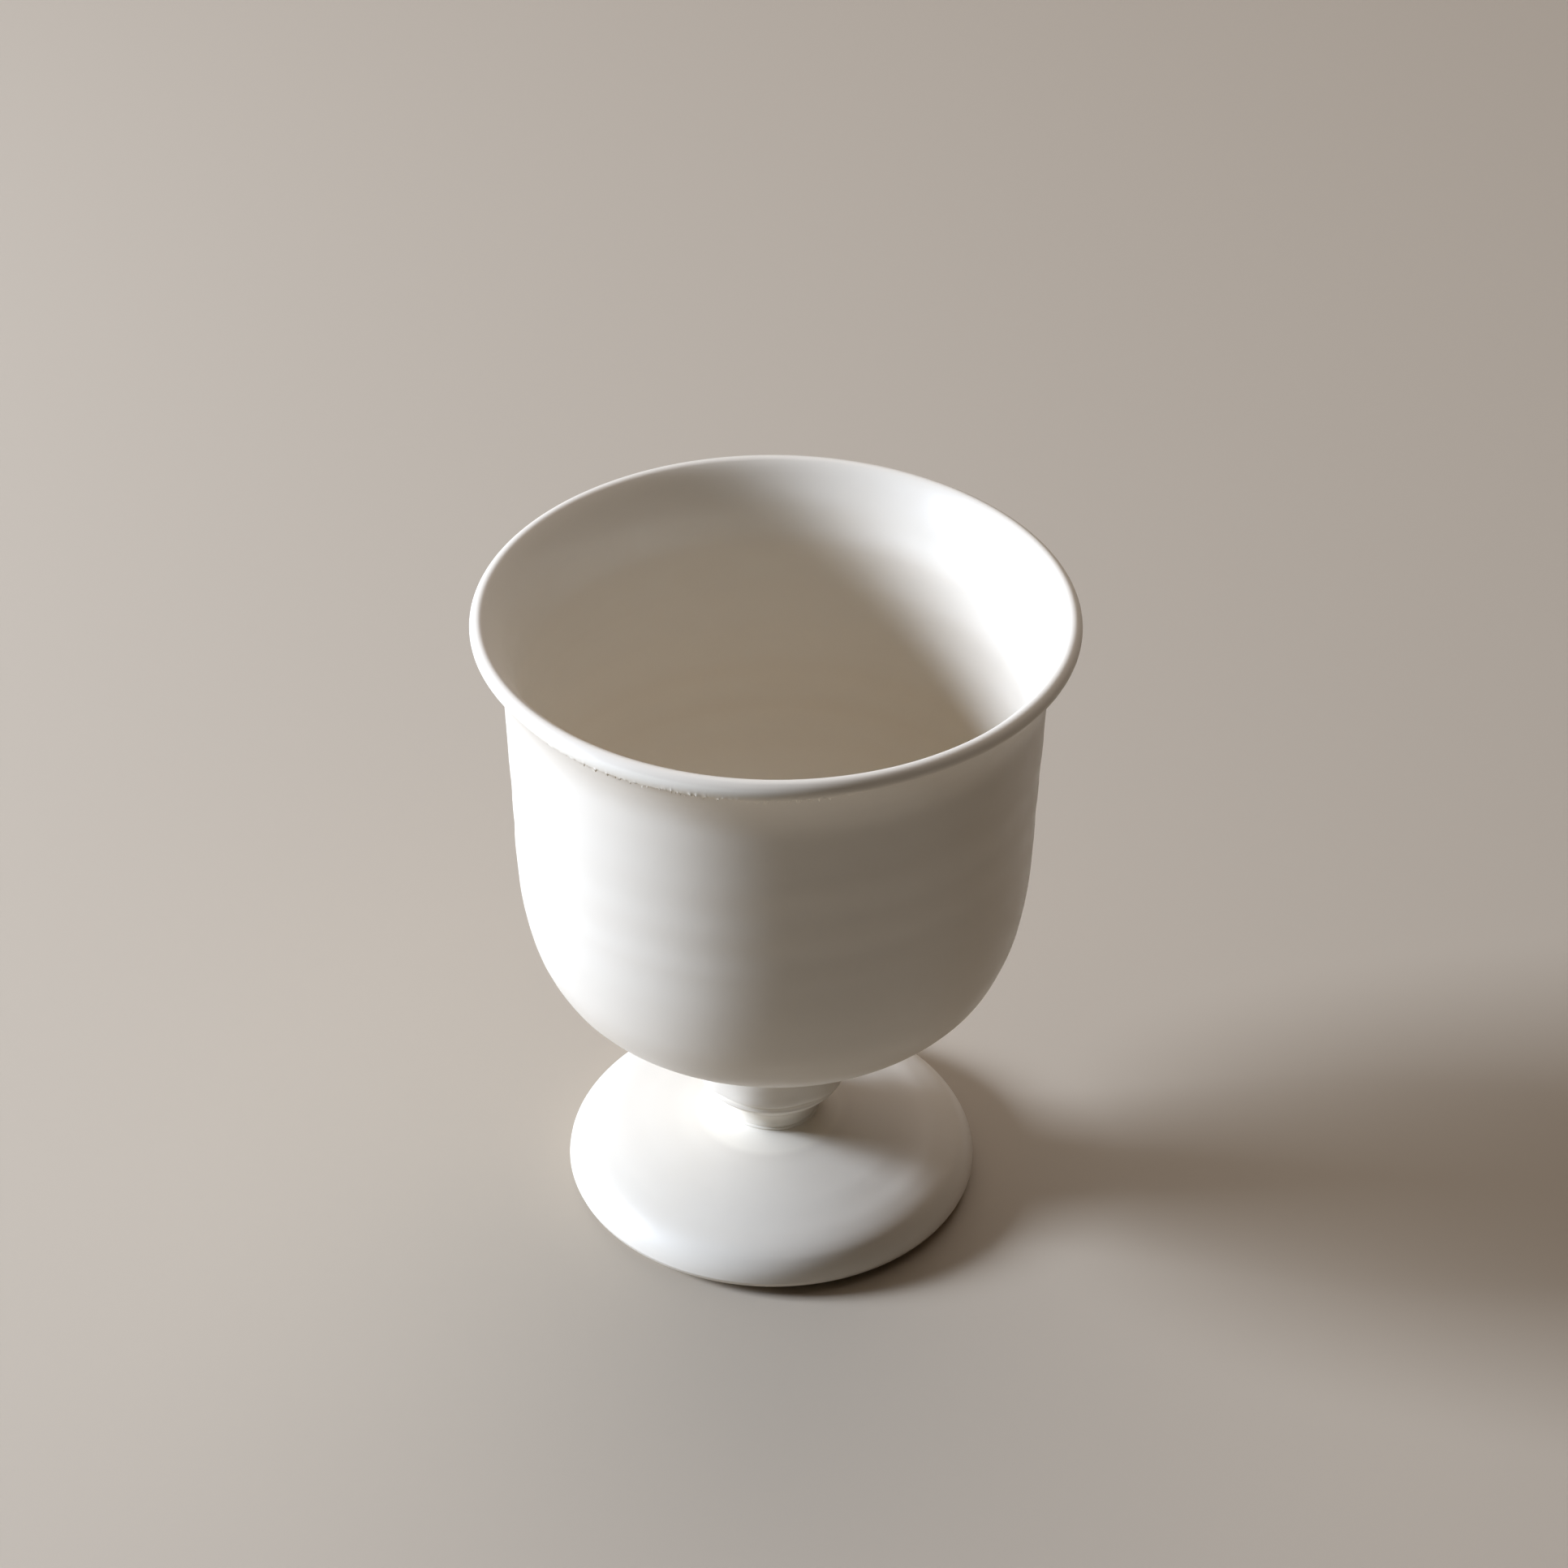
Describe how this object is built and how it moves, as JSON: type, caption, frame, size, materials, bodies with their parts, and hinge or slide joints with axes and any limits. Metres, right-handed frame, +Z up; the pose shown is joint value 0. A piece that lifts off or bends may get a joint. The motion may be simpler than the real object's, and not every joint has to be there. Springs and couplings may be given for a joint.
{
  "type": "communion chalice",
  "caption": "Glazed ceramic chalice: deep round cup with a turned-out lip, on a short ridged stem and a wide disc foot, for serving communion wine.",
  "frame": {"origin": "centre of the foot's underside, in the plane that the chalice stands on", "axes": "+Z up along the axis that every piece is turned about; X and Y are alike"},
  "size_m": [0.095, 0.095, 0.112],
  "materials": {
    "glaze": "satin off-white glaze over thrown clay",
    "slip": "matt fired slip inside the joints"
  },
  "bodies": {
    "root": {"bowl": "glaze", "join_coil": "glaze", "upper_slip": "slip", "stem": "glaze", "lower_slip": "slip", "foot": "glaze"}
  },
  "joints": []
}
